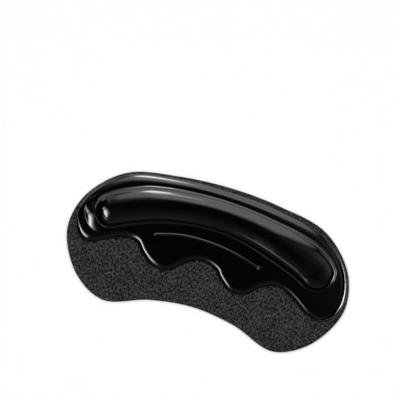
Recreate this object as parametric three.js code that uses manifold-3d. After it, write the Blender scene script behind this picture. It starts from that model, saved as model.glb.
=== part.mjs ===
import * as THREE from "three";
import Module from "manifold-3d";

// A heel grip that lies flat, with its fabric underside down and its gel cushion up.
// Sizes are in millimetres. +X runs along the grip, +Y points to its full rounded edge, +Z points up.
// The origin is the middle of the underside.

const { Manifold, Mesh } = await Module().then((wasm) => {
  wasm.setup();
  return wasm;
});

// Plan curves

const ARC_LENGTH_STEPS = 4000;

// Evenly spaced points on a smooth line through a table's rows. A closed line doesn't repeat its first point.
// Each point's z holds the value of one more column of the table, if that is named.
function smoothLine(rows, count, closed, column) {
  const knots = rows.map((row) => new THREE.Vector3(row.x, row.y, row[column] ?? 0));
  const curve = new THREE.CatmullRomCurve3(knots, closed, "centripetal");
  curve.arcLengthDivisions = ARC_LENGTH_STEPS;
  return closed ? curve.getSpacedPoints(count).slice(0, count) : curve.getSpacedPoints(count - 1);
}

// Half an outline's rows, then their mirror images in reverse. The first and last rows lie on the mirror line.
function withMirrorImage(halfRows) {
  const otherHalf = halfRows.slice(1, -1).reverse();
  return [...halfRows, ...otherHalf.map(({ x, y }) => ({ x: -x, y }))];
}

// Directions square to a line of points, pointing left along it. An open line has its own end directions.
function leftNormals(points, closed) {
  const last = points.length - 1;
  return points.map((point, i) => {
    const before = points[i > 0 ? i - 1 : closed ? last : 0];
    const after = points[i < last ? i + 1 : closed ? 0 : last];
    return new THREE.Vector3(before.y - after.y, after.x - before.x, 0).normalize();
  });
}

// A closed outline moved inwards by each point's own inset and raised to a height.
function insetLoop(outline, insetOf, height) {
  const inwards = leftNormals(outline, true);
  return outline.map((point, i) => point.clone().addScaledVector(inwards[i], insetOf(point)).setZ(height));
}

// The foot of a point on a polyline in plan, how far off it is, and which way the line runs there.
function nearestOn(line, point) {
  let best = { distance: Infinity };
  for (let i = 0; i + 1 < line.length; i++) {
    const start = line[i];
    const span = line[i + 1].clone().sub(start);
    const dot = (point.x - start.x) * span.x + (point.y - start.y) * span.y;
    const along = THREE.MathUtils.clamp(dot / (span.x ** 2 + span.y ** 2), 0, 1);
    const foot = start.clone().addScaledVector(span, along);
    const distance = Math.hypot(point.x - foot.x, point.y - foot.y);
    if (distance < best.distance) best = { foot, distance, way: span.setZ(0).normalize() };
  }
  return best;
}

// Solids

// A closed solid through a stack of loops with equal counts. Each loop turns left, seen from above.
function loft(loops) {
  const count = loops[0].length;
  const vertices = loops.flat().flatMap(({ x, y, z }) => [x, y, z]);
  const capOf = (loop) => THREE.ShapeUtils.triangulateShape(loop, []);
  const faces = capOf(loops[0]).flatMap(([a, b, c]) => [c, b, a]);
  for (let ring = 0; ring + 1 < loops.length; ring++) {
    for (let i = 0; i < count; i++) {
      const low = ring * count + i;
      const lowNext = ring * count + ((i + 1) % count);
      faces.push(low, lowNext, lowNext + count, low, lowNext + count, low + count);
    }
  }
  const top = (loops.length - 1) * count;
  faces.push(...capOf(loops.at(-1)).flatMap((corners) => corners.map((corner) => corner + top)));
  const triVerts = Uint32Array.from(faces);
  return new Manifold(new Mesh({ numProp: 3, vertProperties: Float32Array.from(vertices), triVerts }));
}

function namedMesh(name, solid, material) {
  const { vertProperties, triVerts } = solid.getMesh();
  const geometry = new THREE.BufferGeometry();
  geometry.setAttribute("position", new THREE.BufferAttribute(vertProperties, 3));
  geometry.setIndex(new THREE.BufferAttribute(triVerts, 1));
  geometry.computeVertexNormals();
  const mesh = new THREE.Mesh(geometry, material);
  mesh.name = name;
  return mesh;
}

// Fabric backing: a kidney-shaped sheet of napped black fabric, cut square with a softened upper edge

const BACKING_POINTS = 144;
const BACKING_HALF = [
  { x: 0, y: -18.3 },
  { x: 14.8, y: -20.2 },
  { x: 29.6, y: -24.8 },
  { x: 40, y: -19.9 },
  { x: 47.4, y: -9.5 },
  { x: 49, y: -1.6 },
  { x: 45.9, y: 9.1 },
  { x: 35.2, y: 19.6 },
  { x: 17.5, y: 23.6 },
  { x: 0, y: 24.8 },
];
const BACKING_EDGE = [
  { inset: 0, height: 0 },
  { inset: 0, height: 0.75 },
  { inset: 0.08, height: 0.93 },
  { inset: 0.25, height: 1 },
];
const BACKING_THICK = BACKING_EDGE.at(-1).height;

const backingOutline = smoothLine(withMirrorImage(BACKING_HALF), BACKING_POINTS, true);
const backing = loft(BACKING_EDGE.map(({ inset, height }) => insetLoop(backingOutline, () => inset, height)));

// Gel cushion: one glossy moulding bonded on the backing, with a rim, a groove, a ridge, an apron and a raised line

const BOND_GAP = 0.05;
const GEL_BASE = BACKING_THICK + BOND_GAP;
const GEL_POINTS = 200;

// The lower edge swings between lobes and valleys. The moulding sits a little askew on its backing.
const LIP_WIDTH = 1.4;
const SCALLOPS = [
  { x: -41, y: -7.4 },
  { x: -35.8, y: -5.4 },
  { x: -30.3, y: -2.6 },
  { x: -26, y: -2.8 },
  { x: -21.3, y: -6.4 },
  { x: -17.3, y: -9.2 },
  { x: -15.6, y: -9.8 },
  { x: -13.8, y: -9.8 },
  { x: -11.5, y: -8.6 },
  { x: -9.2, y: -6.7 },
  { x: -4.3, y: -3 },
  { x: 1.1, y: -3.2 },
  { x: 5.5, y: -6.3 },
  { x: 9.7, y: -9.5 },
  { x: 12, y: -10.1 },
  { x: 14.2, y: -9.9 },
  { x: 16.3, y: -8.8 },
  { x: 18.5, y: -7 },
  { x: 22.5, y: -4.3 },
  { x: 27.3, y: -4.3 },
  { x: 32.5, y: -7.3 },
  { x: 37.6, y: -10.1 },
];
const GEL_RIM = [
  { x: 42.2, y: -10.6, width: 1.5 },
  { x: 46.1, y: -8, width: 2 },
  { x: 48.2, y: -0.6, width: 2.1 },
  { x: 45.1, y: 9.1, width: 2.3 },
  { x: 36.6, y: 17.2, width: 2.7 },
  { x: 17.7, y: 22.1, width: 3.3 },
  { x: 0, y: 23.4, width: 3 },
  { x: -17, y: 22.8, width: 3.2 },
  { x: -34.8, y: 19, width: 3.8 },
  { x: -45.1, y: 9.4, width: 2.4 },
  { x: -47.3, y: 1.1, width: 1.1 },
  { x: -45, y: -5.6, width: 2.1 },
];

// The rim is a quarter of an ellipse from the backing up to the flat, wider in some places than in others.
const FLAT_HEIGHT = 1.5;
const FLAT_TOP = GEL_BASE + FLAT_HEIGHT;
const RIM_STEPS = 6;

function rimLoops(outline) {
  return Array.from({ length: RIM_STEPS + 1 }, (_, step) => {
    const turn = (Math.PI / 2) * (step / RIM_STEPS);
    const insetOf = ({ z: width }) => width * (1 - Math.cos(turn));
    return insetLoop(outline, insetOf, GEL_BASE + FLAT_HEIGHT * Math.sin(turn));
  });
}

// The ridge follows an arched line. Its profile gives the rise above the flat at each distance from that line.
// The whole profile shrinks or grows with the reach along the line.
const RIDGE_LINE_POINTS = 121;
const RIDGE_LINE = [
  { x: -36.9, y: 4.6, reach: 7.2 },
  { x: -33.7, y: 6.6, reach: 7.2 },
  { x: -23.7, y: 10.9, reach: 7 },
  { x: -12.1, y: 13.2, reach: 6.3 },
  { x: -0.3, y: 13.95, reach: 6.1 },
  { x: 11.4, y: 13, reach: 6.5 },
  { x: 22.8, y: 10.4, reach: 7.2 },
  { x: 33.9, y: 6.8, reach: 7.5 },
  { x: 37.3, y: 4.9, reach: 7.3 },
];
const RIDGE_PROFILE_STEPS = 14;
const RIDGE_PROFILE = [
  { away: 7.1, rise: 0 },
  { away: 6.6, rise: 0.06 },
  { away: 6.2, rise: 0.25 },
  { away: 5.8, rise: 0.595 },
  { away: 5.4, rise: 0.95 },
  { away: 4.9, rise: 1.32 },
  { away: 4.2, rise: 1.635 },
  { away: 3, rise: 1.95 },
  { away: 1.5, rise: 2.16 },
  { away: 0.2, rise: 2.22 },
];
const RIDGE_REACH = RIDGE_PROFILE[0].away;

// At its -X end the ridge runs out in a longer, gentler toe. Spread and power set how narrow and how hollow it is.
const TOE = { from: 5.6, length: 2.6, power: 1.5, spread: 4 };

// The ridge is narrower where the rim leaves it less room than its profile and this much of the groove.
const GROOVE_LEAST = 0.4;

function ridgeLoops(innerLoop) {
  const line = smoothLine(RIDGE_LINE, RIDGE_LINE_POINTS, false, "reach");
  const profile = new THREE.SplineCurve(RIDGE_PROFILE.map(({ away, rise }) => new THREE.Vector2(away, rise)));
  const columns = innerLoop.map((point) => {
    const { foot, distance, way } = nearestOn(line, point);
    const scale = foot.z / RIDGE_REACH;
    const outwards = point.clone().sub(foot).setZ(0).normalize();
    const toeLength = TOE.length * Math.max(0, -outwards.dot(way)) ** TOE.spread;
    const squeeze = Math.min(1, (distance - GROOVE_LEAST) / ((RIDGE_REACH + toeLength) * scale));
    return { foot, scale, toeLength, outwards: outwards.multiplyScalar(scale * squeeze) };
  });
  return profile.getSpacedPoints(RIDGE_PROFILE_STEPS).map(({ x: away, y: rise }) => {
    const toe = Math.max(0, (away - TOE.from) / (RIDGE_REACH - TOE.from)) ** TOE.power;
    return columns.map(({ foot, scale, toeLength, outwards }) =>
      foot.clone().addScaledVector(outwards, away + toe * toeLength).setZ(FLAT_TOP + rise * scale),
    );
  });
}

// The raised line is an arc on the apron that ends in a small round knob at +X.
const RAISED_LINE_POINTS = 41;
const RAISED_LINE = [
  { x: -19.4, y: 1.6 },
  { x: -11.5, y: 3.85 },
  { x: -3.5, y: 4.5 },
  { x: 6.3, y: 3.5 },
  { x: 17.4, y: 0.5 },
];
const RAISED_LINE_SECTION = [
  { halfWidth: 0.4, rise: -0.4 },
  { halfWidth: 0.4, rise: 0 },
  { halfWidth: 0.3, rise: 0.1 },
  { halfWidth: 0.12, rise: 0.15 },
];
const KNOB = { radius: 0.65, topRadius: 0.35, rise: 0.25, sink: 0.4, roundSteps: 20 };

function raisedLine() {
  const line = smoothLine(RAISED_LINE, RAISED_LINE_POINTS, false);
  const left = leftNormals(line, false);
  const side = (halfWidth) => line.map((point, i) => point.clone().addScaledVector(left[i], halfWidth));
  const bar = loft(
    RAISED_LINE_SECTION.map(({ halfWidth, rise }) =>
      [...side(-halfWidth), ...side(halfWidth).reverse()].map((point) => point.setZ(FLAT_TOP + rise)),
    ),
  );
  const { radius, topRadius, rise, sink, roundSteps } = KNOB;
  const knob = Manifold.cylinder(sink + rise, radius, topRadius, roundSteps);
  const end = line.at(-1);
  return bar.add(knob.translate([end.x, end.y, FLAT_TOP - sink]));
}

const lip = SCALLOPS.map((row) => ({ ...row, width: LIP_WIDTH }));
const gelOutline = smoothLine([...lip, ...GEL_RIM], GEL_POINTS, true, "width");
const rim = rimLoops(gelOutline);
const cushion = loft([...rim, ...ridgeLoops(rim.at(-1))]).add(raisedLine());

// Assembly

const FABRIC = new THREE.MeshStandardMaterial({ name: "fabric", color: 0x2d2d2d, roughness: 0.95 });
const GEL = new THREE.MeshStandardMaterial({ name: "gel", color: 0x050505, roughness: 0.1 });

const grip = new THREE.Group();
grip.name = "heel_grip";
grip.add(namedMesh("fabric_backing", backing, FABRIC));
grip.add(namedMesh("gel_cushion", cushion, GEL));

export default grip;
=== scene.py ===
import math

import bpy
import numpy as np
from mathutils import Matrix, Vector


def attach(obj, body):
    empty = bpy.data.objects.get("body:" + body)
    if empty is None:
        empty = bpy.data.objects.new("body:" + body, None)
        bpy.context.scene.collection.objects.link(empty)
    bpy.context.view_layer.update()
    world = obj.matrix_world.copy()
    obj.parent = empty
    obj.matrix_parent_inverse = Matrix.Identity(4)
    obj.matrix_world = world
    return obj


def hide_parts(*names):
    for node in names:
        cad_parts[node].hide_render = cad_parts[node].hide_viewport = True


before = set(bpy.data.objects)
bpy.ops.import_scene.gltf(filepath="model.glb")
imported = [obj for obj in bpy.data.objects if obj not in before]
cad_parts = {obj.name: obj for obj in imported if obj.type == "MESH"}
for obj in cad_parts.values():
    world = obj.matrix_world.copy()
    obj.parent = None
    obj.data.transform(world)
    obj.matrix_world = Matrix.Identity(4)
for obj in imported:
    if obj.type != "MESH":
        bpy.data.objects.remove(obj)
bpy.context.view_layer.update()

# Fabric backing
# A kidney-shaped sheet of black napped microfibre, die-cut in one stroke, about a millimetre thick.
# It lies flat and carries the gel on its upper face. Its lower face is the one that sticks in a shoe.

MM = 0.001
BACKING_POINTS = 480
# The right half of the outline, from the middle of the lower edge to the middle of the upper: x, y
BACKING_HALF = [
    (0, -18.3),
    (14.8, -20.2),
    (29.6, -24.8),
    (40, -19.9),
    (47.4, -9.5),
    (49, -1.6),
    (45.9, 9.1),
    (35.2, 19.6),
    (17.5, 23.6),
    (0, 24.8),
]
BACKING_EDGE_INSET = [0, 0, 0.03, 0.1, 0.25, 0.6]
BACKING_EDGE_HEIGHT = [0, 0.72, 0.85, 0.95, 1, 1]
BACKING_SPINE = [(-30, -2), (0, 4), (30, -2)]
BACKING_FACE_SHARES = np.linspace(0.04, 0.96, 24)
LINE_STEPS = 64


def smooth_line(rows, count, closed):
    """Evenly spaced points on a smooth line through a table's rows."""
    knots = np.array(rows, float)
    if closed:
        knots = np.vstack([knots[-1:], knots, knots[:2]])
    else:
        before, after = 2 * knots[0] - knots[1], 2 * knots[-1] - knots[-2]
        knots = np.vstack([before, knots, after])
    share = np.linspace(0, 1, LINE_STEPS, endpoint=False)[:, None]
    stretches = []
    for a, b, c, d in zip(knots, knots[1:], knots[2:], knots[3:]):
        ab, bc, cd = (math.sqrt(math.dist(p, q)) for p, q in ((a, b), (b, c), (c, d)))
        leave = ((b - a) / ab - (c - a) / (ab + bc) + (c - b) / bc) * bc
        arrive = ((c - b) / bc - (d - b) / (bc + cd) + (d - c) / cd) * bc
        bend = 2 * b - 2 * c + leave + arrive
        swing = 3 * c - 3 * b - 2 * leave - arrive
        stretches.append(b + share * (leave + share * (swing + share * bend)))
    line = np.vstack(stretches + [knots[-2:-1]])
    length = np.r_[0, np.linalg.norm(np.diff(line[:, :2], axis=0), axis=1).cumsum()]
    stops = np.linspace(0, length[-1], count, endpoint=not closed)
    return np.column_stack([np.interp(stops, length, column) for column in line.T])


def inward(outline):
    """Directions square to a closed outline that turns left, pointing into it."""
    along = np.roll(outline, -1, axis=0) - np.roll(outline, 1, axis=0)
    square = np.column_stack([-along[:, 1], along[:, 0]])
    return square / np.linalg.norm(square, axis=1)[:, None]


def nearest_on(line, points):
    """The row of a polyline nearest to each point in plan, and the way the line runs there."""
    step = np.diff(line, axis=0)
    plan = step[:, :2]
    along = np.einsum("pij,ij->pi", points[:, None, :2] - line[:-1, :2], plan) / (plan**2).sum(1)
    rows = line[:-1] + np.clip(along, 0, 1)[..., None] * step
    best = np.linalg.norm(points[:, None, :2] - rows[..., :2], axis=2).argmin(1)
    ways = plan / np.linalg.norm(plan, axis=1)[:, None]
    return rows[np.arange(len(points)), best], ways[best]


def at_height(loop, height):
    return np.column_stack([loop, np.broadcast_to(height, len(loop))])


def ring_piece(name, rings):
    """A closed smooth mesh through a stack of loops in millimetres, with a face on each end."""
    count = len(rings[0])
    spot = np.arange(count)
    after = (spot + 1) % count
    walls = []
    for low in range(0, count * (len(rings) - 1), count):
        high = low + count
        walls += np.column_stack([low + spot, low + after, high + after, high + spot]).tolist()
    underside = spot[::-1].tolist()
    crown = (spot + count * (len(rings) - 1)).tolist()
    mesh = bpy.data.meshes.new(name)
    mesh.from_pydata((np.vstack(rings) * MM).tolist(), [], [underside] + walls + [crown])
    mesh.polygons.foreach_set("use_smooth", [False] + [True] * len(walls) + [True])
    mesh.update()
    piece = bpy.data.objects.new(name, mesh)
    bpy.context.scene.collection.objects.link(piece)
    return piece


class Signal:
    """A shader socket that adds up like a number."""

    def __init__(self, socket):
        self.socket = socket

    def node(self, kind, settings, inputs, output=0):
        tree = self.socket.id_data
        made = tree.nodes.new(kind)
        for name, value in settings.items():
            setattr(made, name, value)
        for name, value in inputs.items():
            if isinstance(value, Signal):
                tree.links.new(value.socket, made.inputs[name])
            else:
                made.inputs[name].default_value = value
        return Signal(made.outputs[output])

    def maths(self, operation, first, second):
        return self.node("ShaderNodeMath", {"operation": operation}, {0: first, 1: second})

    def __add__(self, other):
        return self.maths("ADD", self, other)

    def __mul__(self, other):
        return self.maths("MULTIPLY", self, other)

    __radd__ = __add__
    __rmul__ = __mul__

    def feed(self, shader, name):
        self.socket.id_data.links.new(self.socket, shader.inputs[name])


def new_finish(name):
    """A new material, its shader, and the place on the object as a signal."""
    finish = bpy.data.materials.new(name)
    finish.use_nodes = True
    nodes = finish.node_tree.nodes
    return finish, nodes["Principled BSDF"], Signal(nodes.new("ShaderNodeTexCoord").outputs["Object"])


def grey(level):
    return (level, level, level, 1)


def backing_rings():
    half = np.array(BACKING_HALF, float)
    whole = np.vstack([half, half[-2:0:-1] * (-1, 1)])
    outline = smooth_line(whole, BACKING_POINTS, closed=True)
    square = inward(outline)
    edge = [
        at_height(outline + inset * square, height)
        for inset, height in zip(BACKING_EDGE_INSET, BACKING_EDGE_HEIGHT)
    ]
    inner = edge[-1][:, :2]
    feet, _ = nearest_on(smooth_line(BACKING_SPINE, BACKING_POINTS, closed=False), inner)
    top = BACKING_EDGE_HEIGHT[-1]
    face = [at_height(inner + share * (feet - inner), top) for share in BACKING_FACE_SHARES]
    return edge + face


FABRIC_ROUGHNESS = 0.95
FABRIC_SPECULAR = 0.15
NAP_TURN = math.radians(17)
NAP_STRETCH = (1, 0.62, 1)
NAP_SCALE = 1900
NAP_DETAIL = 2
NAP_COARSENESS = 0.6
NAP_SHARE = 0.7
FIBRE_SCALE = 6000
FIBRE_DETAIL = 1
FIBRE_SHARE = 0.2
CLUMP_SCALE = 260
CLUMP_DETAIL = 2
CLUMP_SHARE = 0.1
DARK_BELOW = 0.44
PALE_ABOVE = 0.62
NAP_DARK = 0.001
NAP_PALE = 0.06
NAP_BUMP = 0.6
NAP_DEPTH = 0.2 * MM
CUT_EDGE_PAINTED_SHADE = 0.35
CUT_EDGE_BELOW = 0.7 * MM
FACE_ABOVE = 0.98 * MM


def napped_microfibre():
    finish, shader, place = new_finish("napped_microfibre")
    shader.inputs["Roughness"].default_value = FABRIC_ROUGHNESS
    shader.inputs["Specular IOR Level"].default_value = FABRIC_SPECULAR
    lie = place.node(
        "ShaderNodeMapping",
        {},
        {"Vector": place, "Rotation": (0, 0, -NAP_TURN), "Scale": NAP_STRETCH},
    )
    nap = lie.node(
        "ShaderNodeTexNoise",
        {},
        {"Vector": lie, "Scale": NAP_SCALE, "Detail": NAP_DETAIL, "Roughness": NAP_COARSENESS},
    )
    fibres = lie.node(
        "ShaderNodeTexNoise",
        {},
        {"Vector": lie, "Scale": FIBRE_SCALE, "Detail": FIBRE_DETAIL},
    )
    clumps = place.node(
        "ShaderNodeTexNoise",
        {},
        {"Vector": place, "Scale": CLUMP_SCALE, "Detail": CLUMP_DETAIL},
    )
    tone = NAP_SHARE * nap + FIBRE_SHARE * fibres + CLUMP_SHARE * clumps
    spread = tone.node(
        "ShaderNodeMapRange",
        {},
        {"Value": tone, "From Min": DARK_BELOW, "From Max": PALE_ABOVE},
    )
    # Painted shade: the colour is darkened on the sheet's cut edge, below its face, where the side is in
    # shade.
    height = place.node("ShaderNodeSeparateXYZ", {}, {"Vector": place}, output="Z")
    upper = height.node(
        "ShaderNodeMapRange",
        {},
        {
            "Value": height,
            "From Min": CUT_EDGE_BELOW,
            "From Max": FACE_ABOVE,
            "To Min": CUT_EDGE_PAINTED_SHADE,
            "To Max": 1,
        },
    )
    colour = spread.node(
        "ShaderNodeMix",
        {"data_type": "RGBA"},
        {0: spread * upper, 6: grey(NAP_DARK), 7: grey(NAP_PALE)},
        output=2,
    )
    colour.feed(shader, "Base Color")
    bump = tone.node(
        "ShaderNodeBump",
        {},
        {"Height": tone, "Strength": NAP_BUMP, "Distance": NAP_DEPTH},
    )
    bump.feed(shader, "Normal")
    return finish


backing = ring_piece("fabric_sheet", backing_rings())
backing.data.materials.append(napped_microfibre())
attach(backing, "root")
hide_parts("fabric_backing")

# Gel cushion
# One glossy black polyurethane gel moulding, cast in an open mould and bonded to the fabric all over.
# A rounded rim runs round it, with a scalloped lip on its lower side.
# Inside the rim are a groove, a raised arched ridge, and an apron with a thin raised line.

GEL_BASE = 1.05
GEL_POINTS = 560
LIP_WIDTH = 2.2
LIP_CROWN = 1.5
# The scalloped lower edge, from left to right: x, y
SCALLOPS = [
    (-41, -7.4),
    (-35.8, -5.4),
    (-31.4, -2.9),
    (-28.2, -2.3),
    (-25, -2.8),
    (-22.3, -5.7),
    (-18.9, -8.3),
    (-16.2, -9.3),
    (-13.6, -9.4),
    (-11.3, -8.7),
    (-5.6, -3.8),
    (-1.2, -2.6),
    (3.6, -4.3),
    (5.1, -6.2),
    (9.8, -9.65),
    (15, -9.55),
    (20.3, -5.1),
    (22.7, -3.95),
    (25.3, -3.55),
    (28, -4.2),
    (31.2, -5.9),
    (37.6, -9.95),
]
# The rest of the edge, from the lower right round to the lower left: x, y, width of the rim, its crown
GEL_RIM = [
    (42.2, -10.6, 1.7, 1),
    (46.1, -8, 2, 0.6),
    (48.2, -0.6, 2.1, 0.5),
    (45.1, 9.1, 2.3, 0.8),
    (36.6, 17.2, 2.7, 1),
    (17.7, 22.1, 3.3, 1),
    (0, 23.4, 3, 1),
    (-17, 22.8, 3.2, 1),
    (-34.8, 19, 3.8, 1),
    (-45.1, 9.4, 2.4, 1),
    (-47.3, 1.1, 0.5, 0.5),
    (-45, -5.6, 2.2, 1.4),
]
FLAT_HEIGHT = 1.5
RIM_STEPS = 16
FLAT_STEPS = 60
RIDGE_STEPS = 84
# The line of the ridge, from left to right: x, y, reach, power of its shoulder, share of its height
RIDGE_LINE = [
    (-36.3, 5, 6.6, 1, 1.03),
    (-33.2, 6.8, 6.9, 1, 1.01),
    (-23.7, 10.9, 7, 1, 1),
    (-12.1, 13.2, 6.3, 1, 1),
    (-0.3, 13.95, 6.1, 1, 1),
    (11.4, 13, 6.5, 1, 1),
    (22.8, 10.4, 7.2, 0.95, 1),
    (33.9, 6.8, 7.5, 0.7, 0.88),
    (36.3, 5.2, 7.2, 0.6, 0.8),
]
# The section of the ridge, from its foot to its line: distance from the line, height
RIDGE_PROFILE = [
    (7.1, 0),
    (6.6, 0.06),
    (6.2, 0.25),
    (5.8, 0.595),
    (5.4, 0.95),
    (4.9, 1.32),
    (4.2, 1.635),
    (3, 1.95),
    (1.5, 2.16),
    (0.2, 2.22),
]
RIDGE_REACH = RIDGE_PROFILE[0][0]
SHELF_FROM = 5.6
SHELF_LENGTH = 3.4
SHELF_HEIGHT = 0.42
SHELF_POWER = 5
GROOVE_LEAST = 0.4
RAISED_LINE = [(-19.4, 1.5), (-11.5, 3.55), (-3.5, 4.15), (6.3, 3.3), (17.4, 0.5)]
RAISED_HALF_WIDTH = 0.4
RAISED_HEIGHT = 0.11
KNOB_RADIUS = 0.65
KNOB_HEIGHT = 0.13
HUMP_POWER = 1.5
LINE_POINTS = 240


def hump(distance, reach):
    """1 in the middle, and smoothly down to 0 at the reach."""
    return np.clip(1 - (distance / reach) ** 2, 0, 1) ** HUMP_POWER


def raised_line_height(loop):
    """The thin raised line on the apron, with a knob at its right end."""
    line = smooth_line(RAISED_LINE, LINE_POINTS, closed=False)
    feet, _ = nearest_on(line, loop)
    away = np.linalg.norm(loop - feet, axis=1)
    from_knob = np.linalg.norm(loop - line[-1], axis=1)
    bead = RAISED_HEIGHT * hump(away, RAISED_HALF_WIDTH)
    knob = KNOB_HEIGHT * hump(from_knob, KNOB_RADIUS)
    return np.maximum(bead, knob)


def gel_rings():
    lip = [(x, y, LIP_WIDTH, LIP_CROWN) for x, y in SCALLOPS]
    edge = smooth_line(lip + GEL_RIM, GEL_POINTS, closed=True)
    outline, width, crown = edge[:, :2], edge[:, 2:3], edge[:, 3:]
    square = inward(outline)
    flat_top = GEL_BASE + FLAT_HEIGHT
    rings = []
    for turn in np.linspace(0, math.pi / 2, RIM_STEPS + 1):
        loop = outline + width * (1 - math.cos(turn)) ** crown * square
        rings.append(at_height(loop, GEL_BASE + FLAT_HEIGHT * math.sin(turn)))
    inner = rings[-1][:, :2]
    feet, ways = nearest_on(smooth_line(RIDGE_LINE, LINE_POINTS, closed=False), inner)
    feet, reach, shoulder, share = np.split(feet, (2, 3, 4), axis=1)
    outwards = inner - feet
    room = np.linalg.norm(outwards, axis=1)[:, None]
    outwards /= room
    leftwards = np.maximum(0, -(outwards * ways).sum(1)) ** SHELF_POWER
    scale = reach / RIDGE_REACH
    squeeze = np.minimum(1, (room - GROOVE_LEAST) / reach)

    def ridge_loop(away):
        broad = RIDGE_REACH * (away / RIDGE_REACH) ** shoulder
        return feet + broad * scale * squeeze * outwards

    def shelf_height(loop):
        """A low rounded shelf about the left end of the ridge."""
        down = (np.linalg.norm(loop - feet, axis=1) - SHELF_FROM) / SHELF_LENGTH
        return SHELF_HEIGHT * leftwards * (1 - np.clip(down, 0, 1) ** 2)

    foot_of_ridge = ridge_loop(RIDGE_REACH)
    for across in np.linspace(0, 1, FLAT_STEPS, endpoint=False)[1:]:
        loop = inner + across * (foot_of_ridge - inner)
        relief = np.maximum(raised_line_height(loop), shelf_height(loop))
        rings.append(at_height(loop, flat_top + relief))
    for away, rise in smooth_line(RIDGE_PROFILE, RIDGE_STEPS, closed=False):
        loop = ridge_loop(away)
        relief = np.maximum(rise * (scale * share)[:, 0], shelf_height(loop))
        rings.append(at_height(loop, flat_top + relief))
    return rings


GEL_COLOUR = 0.0007
HAZE_SCALE = 240
HAZE_DETAIL = 3
GLOSS_LEAST = 0.06
GLOSS_MOST = 0.12
RIPPLE_SCALE = 160
RIPPLE_DETAIL = 1
RIPPLE_BUMP = 0.3
RIPPLE_DEPTH = 0.1 * MM


def glossy_gel():
    finish, shader, place = new_finish("glossy_gel")
    shader.inputs["Base Color"].default_value = grey(GEL_COLOUR)
    haze = place.node(
        "ShaderNodeTexNoise",
        {},
        {"Vector": place, "Scale": HAZE_SCALE, "Detail": HAZE_DETAIL},
    )
    gloss = haze.node(
        "ShaderNodeMapRange",
        {},
        {"Value": haze, "To Min": GLOSS_LEAST, "To Max": GLOSS_MOST},
    )
    gloss.feed(shader, "Roughness")
    ripple = place.node(
        "ShaderNodeTexNoise",
        {},
        {"Vector": place, "Scale": RIPPLE_SCALE, "Detail": RIPPLE_DETAIL},
    )
    bump = ripple.node(
        "ShaderNodeBump",
        {},
        {"Height": ripple, "Strength": RIPPLE_BUMP, "Distance": RIPPLE_DEPTH},
    )
    bump.feed(shader, "Normal")
    return finish


cushion = ring_piece("gel_moulding", gel_rings())
cushion.data.materials.append(glossy_gel())
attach(cushion, "root")
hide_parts("gel_cushion")

# Floor
# A sheet of white paper under the grip, wide enough to fill the picture.

FLOOR_HALF = 1.5
FLOOR_CORNERS = [(-1, -1), (1, -1), (1, 1), (-1, 1)]
PAPER_WHITE = 0.9
PAPER_ROUGHNESS = 1
PAPER_SPECULAR = 0

floor_mesh = bpy.data.meshes.new("floor")
floor_mesh.from_pydata(
    [(x * FLOOR_HALF, y * FLOOR_HALF, 0) for x, y in FLOOR_CORNERS],
    [],
    [(0, 1, 2, 3)],
)
floor = bpy.data.objects.new("floor", floor_mesh)
bpy.context.scene.collection.objects.link(floor)
paper, paper_shader, _ = new_finish("white_paper")
paper_shader.inputs["Base Color"].default_value = grey(PAPER_WHITE)
paper_shader.inputs["Roughness"].default_value = PAPER_ROUGHNESS
paper_shader.inputs["Specular IOR Level"].default_value = PAPER_SPECULAR
floor_mesh.materials.append(paper)

# Backdrop
# A plain pale wall all round the floor, seen only by the camera, so that the lamps shine through it.

WALL_RADIUS = 1.45
WALL_HEIGHT = 1.5
WALL_SIDES = 64
CANVAS_GLOW = 1

wall_mesh = bpy.data.meshes.new("backdrop")
turns = np.linspace(0, 2 * math.pi, WALL_SIDES, endpoint=False)
circle = WALL_RADIUS * np.column_stack([np.cos(turns), np.sin(turns)])
side = np.arange(WALL_SIDES)
beside = (side + 1) % WALL_SIDES
wall_mesh.from_pydata(
    np.vstack([at_height(circle, 0), at_height(circle, WALL_HEIGHT)]).tolist(),
    [],
    np.column_stack([side, beside, beside + WALL_SIDES, side + WALL_SIDES]).tolist(),
)
backdrop = bpy.data.objects.new("backdrop", wall_mesh)
bpy.context.scene.collection.objects.link(backdrop)
canvas, canvas_shader, _ = new_finish("pale_canvas")
canvas_shader.inputs["Base Color"].default_value = grey(0)
canvas_shader.inputs["Emission Color"].default_value = grey(1)
canvas_shader.inputs["Emission Strength"].default_value = CANVAS_GLOW
wall_mesh.materials.append(canvas)
backdrop.visible_glossy = False
backdrop.visible_diffuse = False
backdrop.visible_shadow = False

# Camera
# It looks down on the grip from in front, at the angle of the photograph.

AZIMUTH = math.radians(17.14)
ELEVATION = math.radians(76)
DISTANCE = 0.6
LENS_MM = 159.5
CLIP_START = 0.01
AIM_RIGHT = -0.00306
AIM_UP = 0.0191

view_back = Vector(
    (
        math.sin(AZIMUTH) * math.cos(ELEVATION),
        -math.cos(AZIMUTH) * math.cos(ELEVATION),
        math.sin(ELEVATION),
    )
)
view_right = Vector((math.cos(AZIMUTH), math.sin(AZIMUTH), 0))
view_up = view_back.cross(view_right)
aim = AIM_RIGHT * view_right + AIM_UP * view_up
camera = bpy.data.objects.new("camera", bpy.data.cameras.new("camera"))
camera.data.lens = LENS_MM
camera.data.clip_start = CLIP_START
camera.location = aim + DISTANCE * view_back
camera.rotation_euler = view_back.to_track_quat("Z", "Y").to_euler()
bpy.context.scene.collection.objects.link(camera)
bpy.context.scene.camera = camera

# Lights
# A wide fill overhead lights the fabric and the floor, and doesn't show in the gel.
# All the other lamps show only in the gel: a soft box with two bulbs behind the grip, strips at its left,
# a low lamp and two panels at its right, and faint wide ones in front, behind and overhead.

picture_up = Vector((-math.sin(AZIMUTH), math.cos(AZIMUTH), 0))
overhead = Vector((0, 0, 1))
LAMP_MIDDLE = (0.5, 0.5, 0)
LAMP_RIM = 0.5


def in_picture(right, up, height):
    """A vector from its parts in the picture's own directions: right, up and overhead."""
    return view_right * right + picture_up * up + overhead * height


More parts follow.
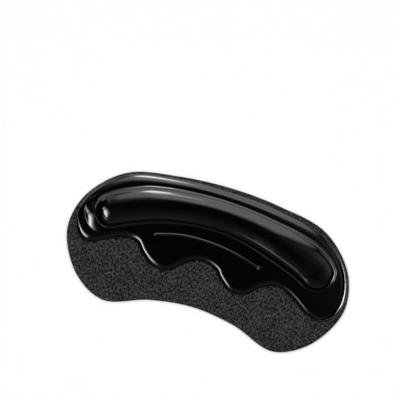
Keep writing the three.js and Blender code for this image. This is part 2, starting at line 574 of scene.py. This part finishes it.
def fade_out(data, fade):
    """Dims a lamp smoothly towards its rim, over this share of the way from its middle."""
    data.use_nodes = True
    nodes = data.node_tree.nodes
    spot = Signal(nodes.new("ShaderNodeNewGeometry").outputs["Parametric"])
    away = spot.node(
        "ShaderNodeVectorMath",
        {"operation": "DISTANCE"},
        {0: spot, 1: LAMP_MIDDLE},
        output="Value",
    )
    glow = away.node(
        "ShaderNodeMapRange",
        {"interpolation_type": "SMOOTHSTEP"},
        {"Value": away, "From Min": LAMP_RIM, "From Max": LAMP_RIM * (1 - fade)},
    )
    glow.feed(nodes["Emission"], "Strength")


def lamp(name, middle, across, along, radiance, fade=0, glossy=True, diffuse=True):
    """A flat lamp that faces the grip, with its middle and its two sides as the picture has them."""
    middle, across, along = (in_picture(*way) for way in (middle, across, along))
    facing = across.cross(along)
    if facing.dot(middle) < 0:
        across.negate()
        facing.negate()
    data = bpy.data.lights.new(name, "AREA")
    data.shape = "ELLIPSE" if fade else "RECTANGLE"
    if fade:
        fade_out(data, fade)
    data.size, data.size_y = across.length, along.length
    data.energy = radiance * math.pi * across.length * along.length
    light = bpy.data.objects.new(name, data)
    turn = Matrix((across.normalized(), along.normalized(), facing.normalized())).transposed()
    light.matrix_world = Matrix.Translation(middle) @ turn.to_4x4()
    light.visible_glossy = glossy
    light.visible_diffuse = diffuse
    bpy.context.scene.collection.objects.link(light)


# The lamps that show in the gel: name, middle, one side, the other side, radiance, share that fades
GLOSS_LAMPS = [
    ("soft_box", (0.08, 0.6, 0.45), (0.72, 0, 0), (0, 0, 1.68), 1.8, 0.4),
    ("soft_box_left", (-0.36, 0.6, 0.28), (0.5, 0, 0), (0, 0, 0.6), 1.2, 0.6),
    ("bulb_low", (-0.01, 0.59, 0.4), (0.17, 0, 0), (0, 0, 0.28), 14, 0.5),
    ("bulb_middle", (0.02, 0.59, 0.53), (0.2, 0, 0), (0, 0, 0.3), 6, 0.8),
    ("strip", (-0.25, 0.03, 0.7), (0.125, 0.042, 0), (0.1, -0.36, 0), 14, 0.5),
    ("strip_top", (-0.312, 0.205, 0.7), (0.12, 0.04, 0), (0.05, -0.15, 0), 9, 0.8),
    ("strip_end", (-0.3, -0.2, 0.69), (0.27, 0.09, 0), (0.02, -0.39, 0), 2.2, 1),
    ("strip_glow", (-0.2, 0.085, 0.71), (0.2, 0.067, 0), (0.1, -0.3, 0), 5, 1),
    ("right_lamp", (0.6, 0.06, 0.04), (0, 0.96, 0), (0, 0, 0.06), 26, 0.7),
    ("right_panel", (0.5, 0.42, 0.32), (0.26, -0.3, 0), (0, 0, 0.5), 1, 1),
    ("right_sky", (0.43, 0.25, 0.8), (0.84, 0, 0), (0, 0.8, 0), 0.5, 1),
    ("front", (0, -0.6, 0.55), (2.4, 0, 0), (0, 0, 0.9), 0.2, 1),
    ("back_sky", (0.14, 0.52, 0.8), (1, 0, 0), (0, 0.6, 0), 0.45, 1),
    ("ceiling", (0, -0.42, 0.9), (2.4, 0, 0), (0, 1.3, 0), 0.13, 1),
]
lamp("fill", (0, 0, 1.2), (2.4, 0, 0), (0, 2.4, 0), radiance=2, glossy=False)
for name, middle, across, along, radiance, fade in GLOSS_LAMPS:
    lamp(name, middle, across, along, radiance, fade, diffuse=False)

world = bpy.data.worlds.new("dark_room")
world.use_nodes = True
world.node_tree.nodes["Background"].inputs["Color"].default_value = grey(0)
bpy.context.scene.world = world
bpy.context.scene.view_settings.view_transform = "Standard"
